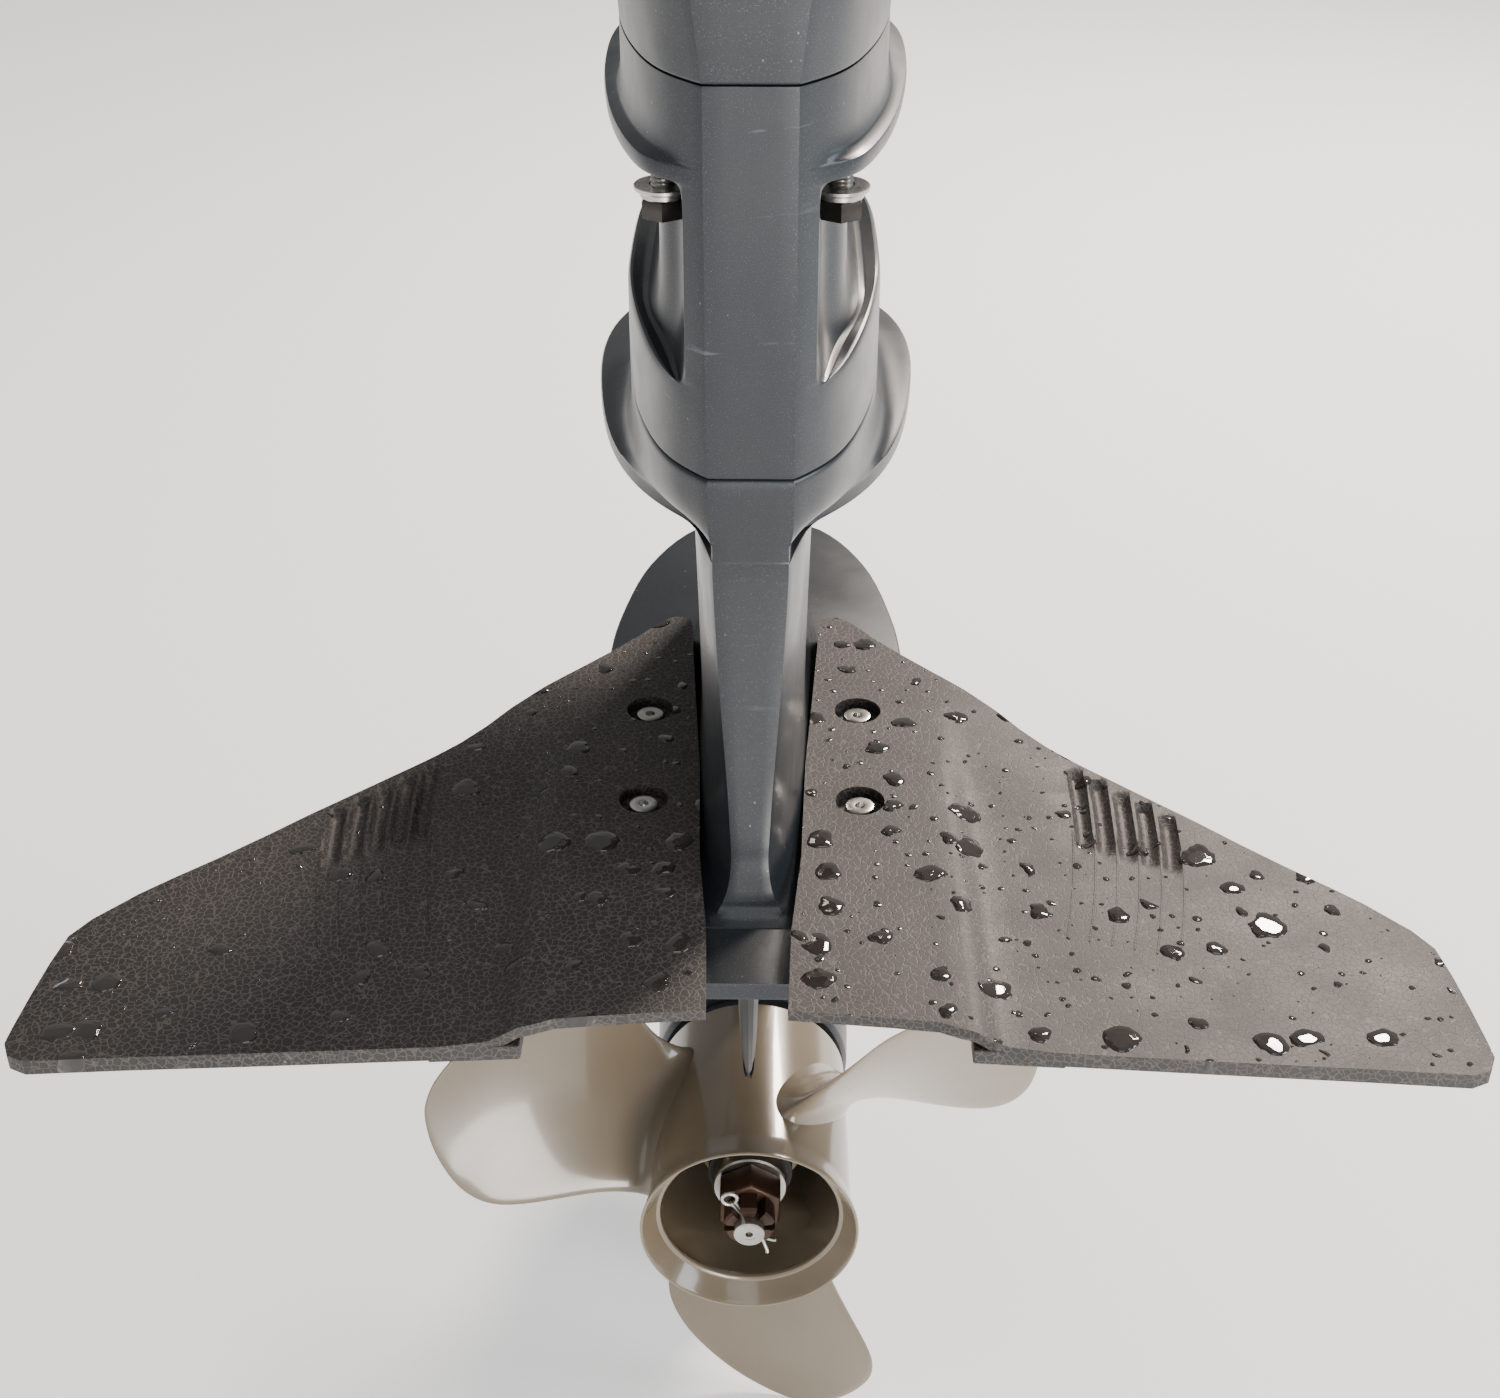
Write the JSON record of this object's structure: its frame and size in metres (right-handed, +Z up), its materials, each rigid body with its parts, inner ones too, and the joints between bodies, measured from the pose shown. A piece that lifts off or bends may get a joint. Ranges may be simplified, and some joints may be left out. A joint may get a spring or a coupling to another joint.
{
  "type": "outboard motor",
  "caption": "Long-shaft outboard motor with clamp brackets, tilt, steering tiller, extended midsection, hydrofoils on the anti-ventilation plate and a three-blade propeller.",
  "frame": {"origin": "middle of the transom's top aft edge: the clamp brackets hang on it at z = 0 and bear on the transom's aft face at y = 0", "axes": "+Z up along the drive shaft, +Y forward towards the boat, +X starboard"},
  "size_m": [0.484, 0.883, 1.2191],
  "materials": {
    "casing_paint": "satin dark blue-grey marine paint, scuffed",
    "cowl_paint": "satin painted moulding",
    "foil_plastic": "black pebble-grained moulding",
    "black_plastic": "plain satin black",
    "propeller_paint": "glossy warm beige-grey enamel",
    "stainless": "bright stainless steel",
    "dark_steel": "darkened steel",
    "brown_nut": "dark brown, dull",
    "cast_aluminium": "plain casting",
    "rubber": "matt black rubber",
    "nylon": "plain off-white nylon",
    "red_plastic": "glossy red"
  },
  "bodies": {
    "clamp": {"clamp_bracket_port": "casing_paint", "clamp_bracket_starboard": "casing_paint", "tilt_tube": "stainless", "tilt_tube_nuts": "stainless", "tilt_pin": "stainless"},
    "pad_port": {"clamp_pad_port": "stainless"},
    "screw_port": {"clamp_screw_port": "stainless"},
    "pad_starboard": {"clamp_pad_starboard": "stainless"},
    "screw_starboard": {"clamp_screw_starboard": "stainless"},
    "swivel": {"swivel_bracket": "casing_paint", "pivot_bushes": "nylon"},
    "midsection": {"steering_shaft": "casing_paint", "lower_yoke": "casing_paint", "rubber_mounts": "rubber", "drive_shaft_housing": "casing_paint", "extension_case": "casing_paint", "case_bolts": "dark_steel", "extension_washers": "stainless", "lower_unit_case": "casing_paint", "water_intake_screens": "black_plastic", "trim_tab_bolt": "stainless", "foil_port": "foil_plastic", "foil_starboard": "foil_plastic", "foil_bolts": "stainless", "foil_nuts": "stainless", "bearing_carrier": "cast_aluminium", "gear_bearings": "dark_steel", "pump_housing": "nylon", "water_tube": "stainless", "exhaust_tube": "cast_aluminium", "bottom_cowl": "cowl_paint", "cowl_seal": "rubber", "engine_block": "cast_aluminium", "cylinder_head": "cast_aluminium", "carburettor": "black_plastic", "starter_motor": "dark_steel", "tiller_bracket": "casing_paint"},
    "tiller": {"tiller_arm": "casing_paint"},
    "grip": {"throttle_grip": "rubber"},
    "stop_button": {"stop_button": "red_plastic"},
    "shift_lever": {"shift_lever": "black_plastic"},
    "shift_rod": {"shift_rod": "stainless"},
    "dog": {"clutch_dog": "dark_steel"},
    "crank": {"crankshaft": "dark_steel", "flywheel": "dark_steel", "drive_shaft": "stainless", "pump_impeller": "rubber", "pinion_gear": "dark_steel"},
    "forward_gear": {"forward_gear": "dark_steel"},
    "reverse_gear": {"reverse_gear": "dark_steel"},
    "prop": {"propeller": "propeller_paint", "propeller_bushing": "rubber", "thrust_washer": "stainless", "rear_spacer": "stainless", "castle_nut": "brown_nut", "cotter_pin": "stainless", "propeller_shaft": "stainless"},
    "top_cowl": {"top_cowl": "cowl_paint"},
    "latch": {"cowl_latch": "black_plastic"},
    "trim_tab": {"trim_tab": "black_plastic"}
  },
  "joints": [
    {"name": "pad_port_slide", "type": "slide", "parent": "clamp", "child": "pad_port", "axis": [0, -1, 0], "range_m": [0, 0.022]},
    {"name": "screw_port_turn", "type": "hinge", "parent": "pad_port", "child": "screw_port", "pos_m": [-0.067, 0.1, -0.075], "axis": [0, -1, 0], "range_deg": [0, 3170]},
    {"name": "pad_starboard_slide", "type": "slide", "parent": "clamp", "child": "pad_starboard", "axis": [0, -1, 0], "range_m": [0, 0.022]},
    {"name": "screw_starboard_turn", "type": "hinge", "parent": "pad_starboard", "child": "screw_starboard", "pos_m": [0.067, 0.1, -0.075], "axis": [0, -1, 0], "range_deg": [0, 3170]},
    {"name": "tilt", "type": "hinge", "parent": "clamp", "child": "swivel", "pos_m": [0, -0.008, 0.03], "axis": [-1, 0, 0], "range_deg": [0, 65]},
    {"name": "steer", "type": "hinge", "parent": "swivel", "child": "midsection", "pos_m": [0, -0.07, 0], "axis": [0, 0, 1], "range_deg": [-35, 35]},
    {"name": "tiller_fold", "type": "hinge", "parent": "midsection", "child": "tiller", "pos_m": [0, 0.01, 0.106], "axis": [1, 0, 0], "range_deg": [0, 90]},
    {"name": "throttle_twist", "type": "hinge", "parent": "tiller", "child": "grip", "pos_m": [0, 0.39, 0.106], "axis": [0, 1, 0], "range_deg": [0, 90]},
    {"name": "stop_press", "type": "slide", "parent": "tiller", "child": "stop_button", "axis": [0, 0, -1], "range_m": [0, 0.003], "stiffness_N_per_m": 400},
    {"name": "shift", "type": "hinge", "parent": "midsection", "child": "shift_lever", "pos_m": [0.12, -0.11, 0.104], "axis": [-1, 0, 0], "range_deg": [-22, 22]},
    {"name": "shift_rod_slide", "type": "slide", "parent": "midsection", "child": "shift_rod", "axis": [0, 0, 1], "range_m": [-0.0052, 0.0052]},
    {"name": "crank_spin", "type": "hinge", "parent": "midsection", "child": "crank", "pos_m": [0, -0.16, 0], "axis": [0, 0, 1], "continuous": true},
    {"name": "forward_gear_spin", "type": "hinge", "parent": "midsection", "child": "forward_gear", "pos_m": [0, -0.16, -0.658], "axis": [0, 1, 0], "continuous": true},
    {"name": "reverse_gear_spin", "type": "hinge", "parent": "midsection", "child": "reverse_gear", "pos_m": [0, -0.16, -0.658], "axis": [0, 1, 0], "continuous": true},
    {"name": "propeller_spin", "type": "hinge", "parent": "midsection", "child": "prop", "pos_m": [0, -0.16, -0.658], "axis": [0, 1, 0], "continuous": true},
    {"name": "dog_slide", "type": "slide", "parent": "prop", "child": "dog", "axis": [0, 1, 0], "range_m": [-0.0028, 0.0028]},
    {"name": "top_cowl_lift", "type": "slide", "parent": "midsection", "child": "top_cowl", "axis": [0, 0, 1], "range_m": [0, 0.34]},
    {"name": "cowl_latch_flip", "type": "hinge", "parent": "midsection", "child": "latch", "pos_m": [0, -0.369, 0.096], "axis": [1, 0, 0], "range_deg": [0, 60]},
    {"name": "trim_tab_turn", "type": "hinge", "parent": "midsection", "child": "trim_tab", "pos_m": [0, -0.355, -0.52], "axis": [0, 0, 1], "range_deg": [-20, 20]}
  ],
  "couplings": [
    {"joint": "screw_port_turn", "follows": "pad_port_slide", "rad_per_m": 2513.3},
    {"joint": "screw_starboard_turn", "follows": "pad_starboard_slide", "rad_per_m": 2513.3},
    {"joint": "shift_rod_slide", "follows": "shift", "m_per_rad": 0.0134},
    {"joint": "dog_slide", "follows": "shift", "m_per_rad": 0.0072},
    {"joint": "forward_gear_spin", "follows": "crank_spin", "ratio": -0.48148},
    {"joint": "reverse_gear_spin", "follows": "crank_spin", "ratio": 0.48148}
  ]
}
